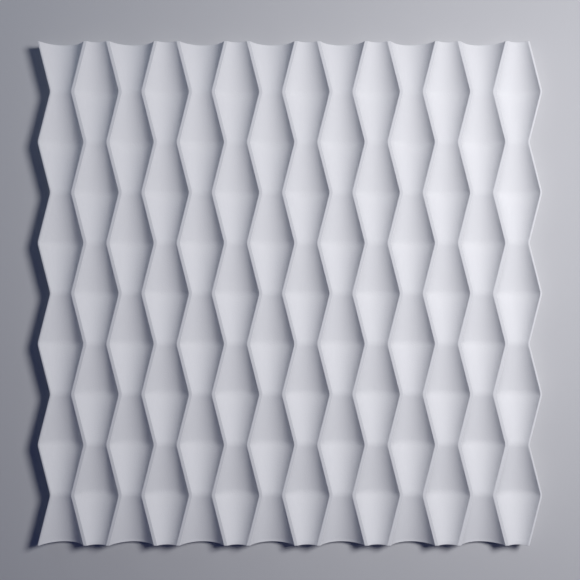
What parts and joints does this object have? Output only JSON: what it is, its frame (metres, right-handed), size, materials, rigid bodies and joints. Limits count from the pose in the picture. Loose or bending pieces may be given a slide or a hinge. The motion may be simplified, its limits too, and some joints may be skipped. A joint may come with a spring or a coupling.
{
  "type": "wall panel",
  "caption": "Square cast plaster wall panel with scooped flutes between flat zigzag ridges; glued to a wall beside its like to make one continuous relief.",
  "frame": {"origin": "middle of the flat back", "axes": "+X across the flutes to the right, +Y along the flutes to the end that points up on the wall, +Z out of the relief; the panel lies on its back"},
  "size_m": [0.5, 0.5, 0.02],
  "materials": {
    "plaster": "matte white cast gypsum plaster, smooth from the mould on the front"
  },
  "bodies": {
    "root": {"wall_panel": "plaster"}
  },
  "joints": []
}
